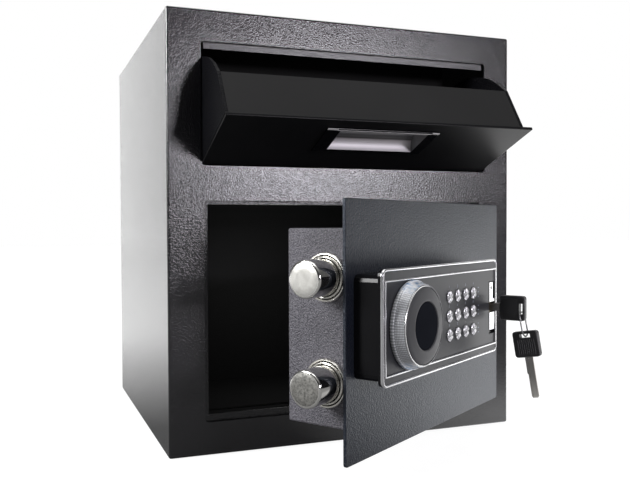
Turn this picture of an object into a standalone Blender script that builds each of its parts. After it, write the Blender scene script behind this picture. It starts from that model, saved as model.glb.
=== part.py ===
"""Depository safe with a rotating drop hopper above a right-hinged door.

Units: metres, +Z up.  The origin is the centre of the cabinet's underside.
+X is to the right as the front is faced, the front face lies at Y = -0.180
and the back at Y = +0.180.  The door stands open, the hopper is tipped
forward and the bolts are thrown.

Lengths below are millimetres.  A depth D is measured from the front face
towards the back, so Y = FRONT + D.  Door, hopper, knob, bolts, keys and
buttons are drawn in their shut position and carried to the open one by the
empties on their axes.
"""

import math

import bmesh
import bpy
from mathutils import Euler, Vector

# --------------------------------------------------------------- dimensions
WIDTH, HEIGHT, DEPTH = 400.0, 450.0, 360.0
FRONT = -DEPTH / 2
SHEET = 2.0                     # cabinet steel
GAP = 0.3                       # clearance between touching pieces

DOOR_OPEN_X = (-162.8, 162.5)   # clear opening for the door
DOOR_OPEN_Z = (33.4, 258.3)
HOPPER_OPEN_X = (-165.0, 168.0)  # clear opening for the hopper
HOPPER_OPEN_Z = (293.6, 418.2)
SHELF_TOP = 284.0               # plate under the hopper
SHELF_END = 124.0               # its rear edge, as a depth

DOOR_PIVOT = (189.0, 23.0)      # x, depth of the vertical door hinge
DOOR_ANGLE = 33.2               # how far the door stands open, degrees
DOOR_X = (-160.0, 158.5)
DOOR_Z = (34.2, 254.9)
DOOR_PLATE = 3.0

CASING_X = (-151.5, 104.0)      # lock casing on the back of the door
CASING_Z = (62.6, 230.3)
CASING_D = (3.3, 65.0)
CASING_SHEET = 1.5

BOLT_R, BOLT_D = 15.75, 24.5    # bolt radius, depth of the bolt axes
BOLT_Z = (189.0, 100.0)
BOLT_TIP, BOLT_END = -183.6, -125.0
BOLT_THROW = 27.5

HOPPER_PIVOT = (14.4, 305.3)    # depth, height of the hopper hinge
HOPPER_ANGLE = 68.9             # how far the hopper is tipped, degrees
HOPPER_X = (-163.8, 165.2)
HOPPER_Z = (296.8, 414.0)
CHEEK_LEFT = (-163.8, -160.8)
CHEEK_RIGHT = (153.5, 156.5)
CHEEK_R = 98.0

PANEL_X = (-148.6, 86.6)        # keypad housing on the front of the door
PANEL_Z = (101.0, 196.4)
PANEL_FACE = -28.0              # depth of its face, negative is outwards
SPINDLE = (-101.0, 147.6)       # x, height of the knob spindle
KEYHOLE = (75.5, 147.6)
KEY_COLS = (-25.8, -7.9, 10.1, 28.1)
KEY_ROWS = (165.5, 147.6, 129.7)
KEY_R = 5.8

CRANK_R = BOLT_THROW / 2 / math.sin(math.radians(45))

# ------------------------------------------------------------------- scene
for old in list(bpy.data.objects):
    bpy.data.objects.remove(old, do_unlink=True)
scene_items = bpy.context.scene.collection.objects


def material(name, colour, roughness, metallic=0.0):
    made = bpy.data.materials.new(name)
    made.use_nodes = True
    shader = made.node_tree.nodes["Principled BSDF"]
    shader.inputs["Base Color"].default_value = (*colour, 1.0)
    shader.inputs["Roughness"].default_value = roughness
    shader.inputs["Metallic"].default_value = metallic
    return made


COAT = material("black_textured_coat", (0.030, 0.030, 0.034), 0.42)
SMOOTH = material("black_smooth_coat", (0.012, 0.012, 0.013), 0.35)
COVER = material("dark_grey_coat", (0.034, 0.034, 0.034), 0.55)
CHROME = material("chrome", (0.80, 0.79, 0.76), 0.12, 1.0)
STEEL = material("zinc_steel", (0.55, 0.55, 0.54), 0.35, 1.0)
GLOSS = material("gloss_black_plastic", (0.008, 0.008, 0.009), 0.12)
FACE = material("panel_face_plastic", (0.045, 0.046, 0.050), 0.32)
CLEAR = material("silver_clear_plastic", (0.62, 0.65, 0.68), 0.15)
RUBBER = material("black_key_plastic", (0.010, 0.010, 0.011), 0.45)
WHITE = material("button_silver", (0.78, 0.78, 0.77), 0.30)
BOARD = material("circuit_board_green", (0.02, 0.16, 0.06), 0.50)
BRASS = material("brass", (0.70, 0.50, 0.20), 0.30, 1.0)


# ----------------------------------------------------------------- empties
def empty(name, x, depth, z, parent=None, parent_at=(0.0, 0.0, 0.0)):
    """An empty at (x, depth, z) of the shut model, under a parent there."""
    made = bpy.data.objects.new(name, None)
    scene_items.link(made)
    made.location = Vector((x - parent_at[0], depth - parent_at[1], z - parent_at[2])) / 1000
    made.parent = parent
    return made


ROOT_AT = (0.0, -FRONT, 0.0)    # shut-model coordinates of the world origin
DOOR_AT = (DOOR_PIVOT[0], DOOR_PIVOT[1], 145.0)
HOPPER_AT = (0.0, HOPPER_PIVOT[0], HOPPER_PIVOT[1])
KNOB_AT = (SPINDLE[0], PANEL_FACE, SPINDLE[1])
BOLTS_AT = (BOLT_END, BOLT_D, 145.5)
LOCK_AT = (KEYHOLE[0], PANEL_FACE, KEYHOLE[1])

door_axis = empty("door_axis", *DOOR_AT, None, ROOT_AT)
hopper_axis = empty("hopper_axis", *HOPPER_AT, None, ROOT_AT)
knob_axis = empty("knob_axis", *KNOB_AT, door_axis, DOOR_AT)
bolt_axis = empty("bolt_axis", *BOLTS_AT, door_axis, DOOR_AT)
lock_axis = empty("lock_axis", *LOCK_AT, door_axis, DOOR_AT)

ROOT = (None, ROOT_AT)
DOOR = (door_axis, DOOR_AT)
HOPPER = (hopper_axis, HOPPER_AT)
KNOB = (knob_axis, KNOB_AT)
BOLTS = (bolt_axis, BOLTS_AT)
LOCK = (lock_axis, LOCK_AT)


# ----------------------------------------------------------- shape helpers
def add(name, bm, paint, group, smooth=False):
    """Turn a bmesh drawn in shut-model millimetres into an object."""
    parent, origin = group
    bmesh.ops.recalc_face_normals(bm, faces=bm.faces)
    for vert in bm.verts:
        vert.co = (vert.co - Vector(origin)) / 1000
    mesh = bpy.data.meshes.new(name)
    bm.to_mesh(mesh)
    bm.free()
    made = bpy.data.objects.new(name, mesh)
    scene_items.link(made)
    made.parent = parent
    if paint is None:
        made.hide_render = True
        made.display_type = "WIRE"
    else:
        mesh.materials.append(paint)
        if smooth:
            mesh.shade_smooth()
            mesh.set_sharp_from_angle(angle=math.radians(35))
    return made


def block_mesh(x, d, z):
    bm = bmesh.new()
    bmesh.ops.create_cube(bm, size=1.0)
    for vert in bm.verts:
        vert.co = Vector((
            x[0] if vert.co.x < 0 else x[1],
            d[0] if vert.co.y < 0 else d[1],
            z[0] if vert.co.z < 0 else z[1],
        ))
    return bm


def block(name, x, d, z, paint, group, edge=0.0, steps=2, pick=None):
    """A box between two corners, its edges rounded by `edge`.

    `pick` says which edges are rounded, from the middle of each."""
    bm = block_mesh(x, d, z)
    if edge:
        edges = [e for e in bm.edges if pick is None or pick((e.verts[0].co + e.verts[1].co) / 2)]
        bmesh.ops.bevel(bm, geom=edges, offset=edge, segments=steps, profile=0.5, affect="EDGES")
    return add(name, bm, paint, group, smooth=bool(edge))


def turn_to(axis, a, b, along):
    """A point with cross-section coordinates (a, b) at `along` on an axis."""
    return {"X": (along, a, b), "Y": (a, along, b), "Z": (a, b, along)}[axis]


def prism(name, outline, axis, span, paint, group, edge=0.0, steps=1, smooth=False):
    """A closed outline extruded along X, Y or Z."""
    bm = bmesh.new()
    low = [bm.verts.new(turn_to(axis, a, b, span[0])) for a, b in outline]
    cap = bm.faces.new(low)
    grown = bmesh.ops.extrude_face_region(bm, geom=[cap])["geom"]
    shift = Vector(turn_to(axis, 0.0, 0.0, span[1] - span[0]))
    bmesh.ops.translate(bm, vec=shift, verts=[g for g in grown if isinstance(g, bmesh.types.BMVert)])
    if edge:
        ends = [e for e in bm.edges if abs((e.verts[1].co - e.verts[0].co).dot(shift)) < 1e-6]
        bmesh.ops.bevel(bm, geom=ends, offset=edge, segments=steps, profile=0.5, affect="EDGES")
    return add(name, bm, paint, group, smooth=smooth)


def rounded(x, z, radius, steps=4):
    """Outline of a rectangle with round corners."""
    points = []
    for cx, cz, start in ((x[1] - radius, z[1] - radius, 0), (x[0] + radius, z[1] - radius, 90),
                          (x[0] + radius, z[0] + radius, 180), (x[1] - radius, z[0] + radius, 270)):
        for k in range(steps + 1):
            a = math.radians(start + 90 * k / steps)
            points.append((cx + radius * math.cos(a), cz + radius * math.sin(a)))
    return points


def arc(centre, radius, start, end, steps):
    return [(centre[0] + radius * math.cos(math.radians(start + (end - start) * k / steps)),
             centre[1] + radius * math.sin(math.radians(start + (end - start) * k / steps)))
            for k in range(steps + 1)]


def turned(name, profile, axis, centre, paint, group, steps=32):
    """A profile of (along, radius) points turned round an axis.

    `centre` holds the axis's two other coordinates.  A profile that starts
    and ends on the axis makes a solid piece, any other makes a ring."""
    bm = bmesh.new()
    rings = []
    for along, radius in profile:
        if radius < 1e-6:
            rings.append([bm.verts.new(turn_to(axis, centre[0], centre[1], along))])
            continue
        rings.append([bm.verts.new(turn_to(
            axis, centre[0] + radius * math.cos(2 * math.pi * k / steps),
            centre[1] + radius * math.sin(2 * math.pi * k / steps), along)) for k in range(steps)])
    solid = len(rings[0]) == 1 and len(rings[-1]) == 1
    pairs = list(zip(rings, rings[1:])) + ([] if solid else [(rings[-1], rings[0])])
    for one, two in pairs:
        for k in range(steps):
            n = (k + 1) % steps
            if len(one) == 1:
                bm.faces.new((one[0], two[k], two[n]))
            elif len(two) == 1:
                bm.faces.new((one[k], two[0], one[n]))
            else:
                bm.faces.new((one[k], two[k], two[n], one[n]))
    return add(name, bm, paint, group, smooth=True)


def boolean(target, other, operation):
    change = target.modifiers.new(operation.lower() + "_" + other.name, "BOOLEAN")
    change.operation = operation
    change.object = other
    change.solver = "EXACT"
    return target


def cut(target, other):
    return boolean(target, other, "DIFFERENCE")


def join(target, other):
    return boolean(target, other, "UNION")


def cut_block(target, tag, x, d, z, group):
    return cut(target, block("cut_" + tag, x, d, z, None, group))


def cut_round(target, tag, axis, centre, radius, span, group, steps=24):
    tool = turned("cut_" + tag, [(span[0], 0.0), (span[0], radius), (span[1], radius), (span[1], 0.0)],
                  axis, centre, None, group, steps)
    return cut(target, tool)


# ------------------------------------------------------------ cabinet shell
body = block("cabinet_body", (-WIDTH / 2, WIDTH / 2), (0.0, DEPTH), (0.0, HEIGHT), COAT, ROOT,
             edge=2.2, steps=3, pick=lambda m: m.y < DEPTH - 1)
cut_block(body, "inside", (-WIDTH / 2 + SHEET, WIDTH / 2 - SHEET), (SHEET, DEPTH + 20),
          (SHEET, HEIGHT - SHEET), ROOT)
cut(body, prism("cut_door_opening", rounded(DOOR_OPEN_X, DOOR_OPEN_Z, 4.0), "Y", (-20.0, 10.0), None, ROOT))
cut(body, prism("cut_hopper_opening", rounded(HOPPER_OPEN_X, HOPPER_OPEN_Z, 3.5), "Y", (-20.0, 10.0), None, ROOT))
for i, (ax, ad) in enumerate(((-120.0, 100.0), (120.0, 100.0), (-120.0, 270.0), (120.0, 270.0))):
    cut_round(body, "floor_hole_%d" % (i + 1), "Z", (ax, ad), 6.0, (-10.0, 10.0), ROOT, 20)

back = block("back_panel", (-WIDTH / 2 + SHEET + GAP, WIDTH / 2 - SHEET - GAP), (DEPTH - 2.0, DEPTH),
             (SHEET + GAP, HEIGHT - SHEET - GAP), COAT, ROOT)
for i, ax in enumerate((-100.0, 100.0)):
    cut_round(back, "wall_hole_%d" % (i + 1), "Y", (ax, 330.0), 6.0, (DEPTH - 20.0, DEPTH + 20.0), ROOT, 20)

# U-shaped rebate that the shut door closes against, open on the hinge side
stop = prism("door_stop_frame",
             [(150.0, 24.0), (150.0, 41.0), (-158.6, 41.0), (-158.6, 254.6), (150.0, 254.6), (150.0, 270.0),
              (-174.0, 270.0), (-174.0, 24.0)], "Y", (SHEET + GAP, 5.4), COAT, ROOT)
cut(stop, prism("cut_stop_rebate",
                [(160.0, 30.0), (160.0, 264.0), (-168.0, 264.0), (-168.0, 30.0)], "Y", (-5.0, 3.7), None, ROOT))

# angle above the hopper mouth
prism("hopper_top_stop",
      [(SHEET + GAP, 422.0), (4.2, 422.0), (4.2, 411.6), (5.8, 411.6), (5.8, 424.5), (SHEET + GAP, 424.5)],
      "X", (-161.4, 166.4), COAT, ROOT)

# plate under the hopper, with its rear edge turned down
prism("compartment_shelf",
      [(SHEET + GAP, SHELF_TOP - 2), (SHELF_END - 2, SHELF_TOP - 2), (SHELF_END - 2, 264.0), (SHELF_END, 264.0),
       (SHELF_END, SHELF_TOP), (SHEET + GAP, SHELF_TOP)],
      "X", (-WIDTH / 2 + SHEET + GAP, WIDTH / 2 - SHEET - GAP), COAT, ROOT)

# plate that hangs behind the hopper, so that nothing can be fished back out
prism("drop_baffle",
      [(208.0, 300.0), (210.0, 300.0), (210.0, HEIGHT - SHEET - GAP), (196.0, HEIGHT - SHEET - GAP),
       (196.0, HEIGHT - SHEET - GAP - 2), (208.0, HEIGHT - SHEET - GAP - 2)],
      "X", (-WIDTH / 2 + SHEET + GAP, WIDTH / 2 - SHEET - GAP), COAT, ROOT)

# plate that catches the hopper's tab when it is fully open
prism("hopper_stop_plate",
      [(62.6, 394.6), (64.6, 394.6), (64.6, HEIGHT - SHEET - GAP), (50.0, HEIGHT - SHEET - GAP),
       (50.0, HEIGHT - SHEET - GAP - 2), (62.6, HEIGHT - SHEET - GAP - 2)],
      "X", (-150.0, 150.0), COAT, ROOT)

# hopper hinge brackets, each with its stud
PD, PZ = HOPPER_PIVOT
BRACKET = [(25.0, PZ - 7), (25.0, SHELF_TOP + GAP), (60.0, SHELF_TOP + GAP), (60.0, PZ - 4), (46.0, PZ + 7)] \
    + arc((PD, PZ), 7.0, 90, 270, 8)
for side, plate, stud in (("left", (-169.2, -166.8), (-168.0, -159.4)),
                          ("right", (158.8, 161.2), (152.2, 160.0))):
    bracket = prism("hopper_bracket_" + side, BRACKET, "X", plate, STEEL, ROOT)
    join(bracket, turned("join_hopper_stud_" + side,
                         [(stud[0], 0.0), (stud[0], 4.0), (stud[1], 4.0), (stud[1], 0.0)],
                         "X", (PD, PZ), None, ROOT, 20))

# door hinge brackets on the right wall, each with an upright pin
PX, PY = DOOR_PIVOT
WALL = WIDTH / 2 - SHEET - GAP
ARMS = {"upper": 214.0, "lower": 76.0}   # underside of each swan-neck arm
ARM_T = 6.0
for place, low in ARMS.items():
    ear = low - 0.5
    bracket = prism("hinge_bracket_" + place,
                    [(178.0, ear - 6), (WALL - 3, ear - 6), (WALL - 3, ear - 32), (WALL, ear - 32), (WALL, ear),
                     (178.0, ear)],
                    "Y", (10.0, 38.0), STEEL, ROOT)
    join(bracket, turned("join_hinge_pin_" + place,
                         [(ear - 3, 0.0), (ear - 3, 4.0), (low + ARM_T + 3, 4.0), (low + ARM_T + 4, 3.0),
                          (low + ARM_T + 4, 0.0)], "Z", (PX, PY), None, ROOT, 20))

# -------------------------------------------------------------------- door
plate = prism("door_plate", rounded(DOOR_X, DOOR_Z, 2.5, 3), "Y", (0.0, DOOR_PLATE), COAT, DOOR,
              edge=0.5, steps=2, smooth=True)
cut_round(plate, "plate_spindle", "Y", SPINDLE, 6.0, (-5.0, 8.0), DOOR)
cut_round(plate, "plate_cylinder", "Y", KEYHOLE, 8.8, (-5.0, 8.0), DOOR)
cut_round(plate, "plate_cable", "Y", (5.0, 147.6), 6.0, (-5.0, 8.0), DOOR)

casing = block("lock_casing", CASING_X, CASING_D, CASING_Z, COAT, DOOR, edge=1.6, steps=2,
               pick=lambda m: m.y > CASING_D[0] + 0.5)
cut_block(casing, "casing_inside", (CASING_X[0] + CASING_SHEET, CASING_X[1] - CASING_SHEET),
          (CASING_D[0] - 10, CASING_D[1] - CASING_SHEET), (CASING_Z[0] + CASING_SHEET, CASING_Z[1] - CASING_SHEET),
          DOOR)
for place, z in zip(("upper", "lower"), BOLT_Z):
    cut_round(casing, "casing_bolt_" + place, "X", (BOLT_D, z), BOLT_R + 0.6, (-170.0, -140.0), DOOR, 32)
    turned("bolt_collar_" + place,
           [(-151.8, BOLT_R + 0.5), (-154.8, BOLT_R + 0.5), (-155.6, BOLT_R + 1.1), (-155.6, BOLT_R + 1.9),
            (-154.4, BOLT_R + 2.5), (-154.4, BOLT_R + 3.1), (-155.2, BOLT_R + 3.6), (-154.9, BOLT_R + 4.6),
            (-153.6, BOLT_R + 5.2), (-151.8, BOLT_R + 5.2)],
           "X", (BOLT_D, z), CHROME, DOOR, 32)

ARM = [(104.3, 54.0), (181.5, 54.0)] + arc((PX, PY), 7.5, 180, 360, 10) + [(196.5, 60.0), (188.5, 68.0), (104.3, 68.0)]
for place, low in ARMS.items():
    arm = prism("hinge_arm_" + place, ARM, "Z", (low, low + ARM_T), STEEL, DOOR)
    join(arm, block("join_arm_foot_" + place, (104.3, 107.3), (34.0, 67.9), (low - 14.0, low + 14.0), None, DOOR))
    cut_round(arm, "arm_eye_" + place, "Z", (PX, PY), 4.35, (low - 10, low + 16), DOOR, 20)

# keypad housing: a deep box behind a taller front flange, open towards the door plate
HOUSING_Z = (104.6, 192.0)
housing = prism("keypad_housing", rounded(PANEL_X, PANEL_Z, 5.0, 3), "Y", (-26.0, -23.4), GLOSS, DOOR, smooth=True)
join(housing, prism("join_housing_box", rounded((PANEL_X[0] + 0.5, PANEL_X[1] - 0.5), HOUSING_Z, 6.0, 3), "Y",
                    (-24.6, -0.3), None, DOOR))
cut_block(housing, "housing_inside", (PANEL_X[0] + 2.9, PANEL_X[1] - 2.1), (-24.0, 5.0),
          (HOUSING_Z[0] + 2.5, HOUSING_Z[1] - 2.5), DOOR)
cut_block(housing, "housing_keys", (-35.0, 37.5), (-30.0, -20.0), (119.0, 177.0), DOOR)
cut_round(housing, "housing_spindle", "Y", SPINDLE, 6.0, (-30.0, -20.0), DOOR)
cut_round(housing, "housing_cylinder", "Y", KEYHOLE, 8.8, (-30.0, -20.0), DOOR)

TRIM_W = 2.4
trim = prism("keypad_trim", rounded((PANEL_X[0] - 0.6, PANEL_X[1] + 0.6), (PANEL_Z[0] - 0.6, PANEL_Z[1] + 0.6), 6.0, 5),
             "Y", (-28.6, -26.3), CHROME, DOOR, edge=0.5, steps=1, smooth=True)
cut(trim, prism("cut_trim_inside", rounded((PANEL_X[0] - 0.6 + TRIM_W, PANEL_X[1] + 0.6 - TRIM_W),
                                           (PANEL_Z[0] - 0.6 + TRIM_W, PANEL_Z[1] + 0.6 - TRIM_W), 3.8, 4),
                "Y", (-40.0, -20.0), None, DOOR))
FACE_X = (PANEL_X[0] - 0.6 + TRIM_W + GAP, PANEL_X[1] + 0.6 - TRIM_W - GAP)
FACE_Z = (PANEL_Z[0] - 0.6 + TRIM_W + GAP, PANEL_Z[1] + 0.6 - TRIM_W - GAP)
face = prism("keypad_face", rounded(FACE_X, FACE_Z, 3.5, 3), "Y", (PANEL_FACE, -26.3), FACE, DOOR)
cut_round(face, "face_spindle", "Y", SPINDLE, 6.0, (-40.0, -20.0), DOOR)
cut_block(face, "face_window", (67.9, 83.3), (-40.0, -20.0), (120.0, 174.4), DOOR)
for r, z in enumerate(KEY_ROWS):
    for c, x in enumerate(KEY_COLS):
        cut_round(face, "face_key_%d%d" % (r, c), "Y", (x, z), KEY_R + 0.45, (-40.0, -20.0), DOOR, 20)

inner = prism("keypad_inner_trim", rounded((FACE_X[0] + 0.2, FACE_X[1] - 0.2), (108.6, 187.6), 0.8, 2), "Y",
              (-29.3, PANEL_FACE - GAP), CHROME, DOOR)
cut(inner, prism("cut_inner_trim", rounded((FACE_X[0] + 2.0, FACE_X[1] - 1.8), (110.4, 185.8), 0.5, 2), "Y",
                 (-40.0, -20.0), None, DOOR))
cut_round(inner, "inner_trim_knob", "Y", SPINDLE, 38.6, (-40.0, -20.0), DOOR, 48)

# chrome strips above and below the emergency keyhole
upper = prism("key_escutcheon_upper",
              [(68.6, 173.2), (68.6, 153.2), (82.6, 153.2), (82.6, 156.0), (76.8, 156.0), (76.8, 173.2)], "Y",
              (-28.4, -26.5), CHROME, DOOR)
cut_round(upper, "escutcheon_hole", "Y", (72.8, 167.6), 1.9, (-40.0, -20.0), DOOR, 16)
prism("key_escutcheon_lower",
      [(68.6, 142.0), (68.6, 124.2), (80.5, 124.2), (80.5, 130.0), (82.4, 130.0), (82.4, 142.0)], "Y",
      (-28.4, -26.5), CHROME, DOOR)

turned("lock_cylinder", [(-25.8, 6.35), (-25.8, 8.4), (24.0, 8.4), (24.0, 6.35)], "Y", KEYHOLE, BRASS,
                  DOOR, 28)
block("circuit_board", (-36.0, 46.0), (-18.0, -16.4), (112.0, 183.0), BOARD, DOOR)
block("solenoid", (-62.0, -30.0), (12.0, 34.0), (150.0, 172.0), STEEL, DOOR, edge=1.0, steps=1)
block("battery_case", (10.0, 96.0), (28.0, 60.0), (80.0, 142.0), RUBBER, DOOR, edge=2.0, steps=1)

# ------------------------------------------------------- knob and its crank
turned("knob_grip",
       [(-28.4, 5.0), (-28.4, 37.6), (-28.9, 38.1), (-31.9, 38.1), (-32.6, 37.4), (-40.5, 34.9), (-41.1, 34.3),
        (-41.1, 33.1), (-36.5, 33.1), (-36.5, 5.0)],
       "Y", SPINDLE, CLEAR, KNOB, 48)
turned("knob_face",
       [(-36.9, 5.0), (-36.9, 32.7), (-41.3, 32.7), (-41.9, 31.9), (-43.4, 21.8), (-43.0, 20.6),
        (-39.2, 20.6), (-39.2, 5.0)],
       "Y", SPINDLE, FACE, KNOB, 36)
turned("knob_cap", [(-39.5, 0.0), (-39.5, 20.2), (-43.2, 20.2), (-43.6, 19.6), (-43.6, 0.0)], "Y", SPINDLE,
       GLOSS, KNOB, 32)
turned("knob_spindle", [(-39.0, 0.0), (-39.0, 4.6), (-36.0, 4.6), (-36.0, 4.0), (7.6, 4.0), (7.6, 0.0)],
       "Y", SPINDLE, STEEL, KNOB, 20)
cam = turned("cam_disc", [(8.0, 0.0), (8.0, 24.0), (12.0, 24.0), (12.0, 0.0)], "Y", SPINDLE, STEEL, KNOB, 36)
CRANK = (SPINDLE[0] - BOLT_THROW / 2, SPINDLE[1] + BOLT_THROW / 2)
join(cam, turned("join_crank_pin", [(10.0, 0.0), (10.0, 3.0), (18.0, 3.0), (18.0, 0.0)], "Y", CRANK, None, KNOB, 16))

# ------------------------------------------------------------------- bolts
for place, z in zip(("upper", "lower"), BOLT_Z):
    turned("bolt_" + place,
           [(BOLT_TIP, 0.0), (BOLT_TIP, BOLT_R - 1.4), (BOLT_TIP + 0.4, BOLT_R - 0.6), (BOLT_TIP + 1.4, BOLT_R),
            (BOLT_END, BOLT_R), (BOLT_END, 0.0)],
           "X", (BOLT_D, z), CHROME, BOLTS, 32)
carriage = prism("bolt_carriage",
                 [(BOLT_END + GAP, 13.0), (-104.4, 13.0), (-104.4, 16.0), (BOLT_END + 3.3, 16.0), (BOLT_END + 3.3, 36.0),
                  (BOLT_END + GAP, 36.0)], "Z", (84.0, 207.0), STEEL, BOLTS)
cut_block(carriage, "carriage_slot", (CRANK[0] - 4.0, CRANK[0] + 4.0), (8.0, 20.0), (154.0, 173.5), BOLTS)

# ----------------------------------------------------------------- buttons
for r, z in enumerate(KEY_ROWS):
    for c, x in enumerate(KEY_COLS):
        name = "button_%d%d" % (r + 1, c + 1)
        at = (x, PANEL_FACE, z)
        holder = empty(name + "_axis", *at, door_axis, DOOR_AT)
        turned(name, [(-29.8, 0.0), (-29.8, KEY_R - 0.9), (-29.2, KEY_R), (-25.6, KEY_R), (-25.6, KEY_R + 1.2),
                      (-24.4, KEY_R + 1.2), (-24.4, 0.0)],
               "Y", (x, z), WHITE, (holder, at), 16)

# ------------------------------------------------------------ lock and keys
KX, KZ = KEYHOLE
plug = turned("lock_plug", [(-26.0, 0.0), (-26.0, 6.0), (22.0, 6.0), (22.0, 0.0)], "Y", KEYHOLE, BRASS, LOCK, 24)
cut_block(plug, "plug_slot", (KX - 1.4, KX + 1.4), (-30.0, 6.0), (KZ - 4.4, KZ + 4.4), LOCK)
KEY1_AT = (KX, -50.0, KZ)
key1_axis = empty("key_1_axis", *KEY1_AT, lock_axis, LOCK_AT)
KEY1 = (key1_axis, KEY1_AT)
block("key_1_blade", (KX - 1.0, KX + 1.0), (-37.7, 4.0), (KZ - 4.0, KZ + 4.0), STEEL, KEY1)
# the heads are slabs with a slot for the ring
HEAD_T = 6.6
SLOT1_D = (-61.7, -58.1)
SLOT1_Z = (KZ - 6.0, KZ + 5.0)
head1 = prism("key_1_head", rounded((-64.0, -37.5), (KZ - 12.7, KZ + 12.7), 3.0, 3), "X",
              (KX - HEAD_T / 2, KX + HEAD_T / 2), RUBBER, KEY1, edge=0.8, steps=1, smooth=True)
cut_block(head1, "head_1_tang", (KX - 1.3, KX + 1.3), (-38.0, -30.0), (KZ - 4.3, KZ + 4.3), KEY1)
cut_block(head1, "head_1_slot", (KX - 10, KX + 10), SLOT1_D, SLOT1_Z, KEY1)

# The ring is an oblong loop of wire that hangs through both slots.  Its
# wire bears on the two lower edges of the first slot and swings about them.
RING_WIRE, RING_HALF, RING_LONG = 0.8, 5.8, 24.6
RING_LEAN, RING_YAW = -11.0, -6.0
BEAR = math.sqrt(RING_HALF ** 2 - (HEAD_T / 2) ** 2)   # arc height at the head's faces
HANG = (KX, sum(SLOT1_D) / 2, SLOT1_Z[0] + RING_WIRE + 0.5)
ring_axis = empty("ring_axis", *HANG, key1_axis, KEY1_AT)
RING = (ring_axis, HANG)
LOOP_TOP = HANG[2] + RING_HALF - BEAR
LOOP = [(HANG[0] + a, LOOP_TOP - RING_HALF + b) for a, b in arc((0.0, 0.0), RING_HALF, 0, 180, 12)] \
    + [(HANG[0] + a, LOOP_TOP - RING_LONG + RING_HALF + b) for a, b in arc((0.0, 0.0), RING_HALF, 180, 360, 12)]


def wire_loop(name, points, depth, radius, paint, group, sides=8):
    """A round wire swept along a closed loop that lies in an X-Z plane."""
    bm = bmesh.new()
    count = len(points)
    rings = []
    for k in range(count):
        before, after = Vector(points[k - 1]), Vector(points[(k + 1) % count])
        along = (after - before).normalized()
        out = Vector((along.y, -along.x))
        rings.append([bm.verts.new((
            points[k][0] + radius * math.cos(2 * math.pi * s / sides) * out.x,
            depth + radius * math.sin(2 * math.pi * s / sides),
            points[k][1] + radius * math.cos(2 * math.pi * s / sides) * out.y)) for s in range(sides)])
    for k in range(count):
        one, two = rings[k], rings[(k + 1) % count]
        for s in range(sides):
            t = (s + 1) % sides
            bm.faces.new((one[s], two[s], two[t], one[t]))
    return add(name, bm, paint, group, smooth=True)


wire_loop("key_ring", LOOP, HANG[1], RING_WIRE, CHROME, RING)

# The second key hangs from the foot of the ring and leans a little.
RING_FOOT = Vector((HANG[0], HANG[1], LOOP_TOP - RING_LONG))
KEY2_LEAN = -9.5
key2_axis = empty("key_2_axis", *RING_FOOT, ring_axis, HANG)
KEY2 = (key2_axis, tuple(RING_FOOT))
FX, FD, FZ = RING_FOOT
SLOT2_Z = (FZ - 1.3, FZ + 2.6)
HEAD2_Z = (SLOT2_Z[1] + 2.9 - 26.5, SLOT2_Z[1] + 2.9)
head2 = prism("key_2_head", rounded((FD - 13.0, FD + 13.0), HEAD2_Z, 3.0, 3), "X",
              (FX - HEAD_T / 2, FX + HEAD_T / 2), RUBBER, KEY2, edge=0.8, steps=1, smooth=True)
cut_block(head2, "head_2_slot", (FX - 10, FX + 10), (FD - 5.4, FD + 5.4), SLOT2_Z, KEY2)
cut_block(head2, "head_2_tang", (FX - 1.3, FX + 1.3), (FD - 3.9, FD + 3.9), (HEAD2_Z[0] - 5, HEAD2_Z[0] + 0.5), KEY2)
block("key_2_blade", (FX - 1.0, FX + 1.0), (FD - 3.6, FD + 3.6), (HEAD2_Z[0] - 41.0, HEAD2_Z[0] + 0.2), STEEL, KEY2)

# ------------------------------------------------------------------ hopper
panel = block("hopper_front_panel", HOPPER_X, (0.5, 3.5), HOPPER_Z, SMOOTH, HOPPER, edge=0.6, steps=2)
cut_block(panel, "panel_handle", (-50.0, 54.0), (-5.0, 10.0), (355.8, 397.6), HOPPER)

FLOOR_ANGLE = -8.9              # the rear plate when the hopper is shut


def polar(radius, angle, side=0.0):
    a = math.radians(angle)
    return (PD + radius * math.cos(a) - side * math.sin(a), PZ + radius * math.sin(a) + side * math.cos(a))


CHEEK = [(3.8, PZ - 8.0), (3.8, PZ + 105.8), (PD + 39.5, PZ + 95.2), polar(100.8, 57), polar(99.2, 46)] + \
    [polar(CHEEK_R, a) for a in (36, 31, 26, 21, 16, 11, 6, 1, -4, -8, -10.6)] + \
    [(PD + 12.0, PZ - 8.0), (PD + 4.0, PZ - 12.0), (PD - 5.0, PZ - 12.0)]
for side, span in (("left", CHEEK_LEFT), ("right", CHEEK_RIGHT)):
    cheek = prism("hopper_cheek_" + side, CHEEK, "X", span, SMOOTH, HOPPER)
    cut_round(cheek, "cheek_eye_" + side, "X", (PD, PZ), 4.35, (span[0] - 5, span[1] + 5), HOPPER, 20)

BETWEEN = (CHEEK_LEFT[1] + GAP, CHEEK_RIGHT[0] - GAP)
# cover from the lip to the deposit mouth
COVER_LOW, COVER_HIGH = Vector((3.9, PZ + 105.6)), Vector((PD + 39.3, PZ + 95.0))
run = (COVER_HIGH - COVER_LOW).normalized()
down = Vector((run.y, -run.x)) * 2.0
prism("hopper_cover_panel",
      [tuple(COVER_LOW), tuple(COVER_HIGH), tuple(COVER_HIGH + down), (COVER_LOW.x, (COVER_LOW + down).y - 0.2)],
      "X", BETWEEN, COVER, HOPPER)

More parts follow.
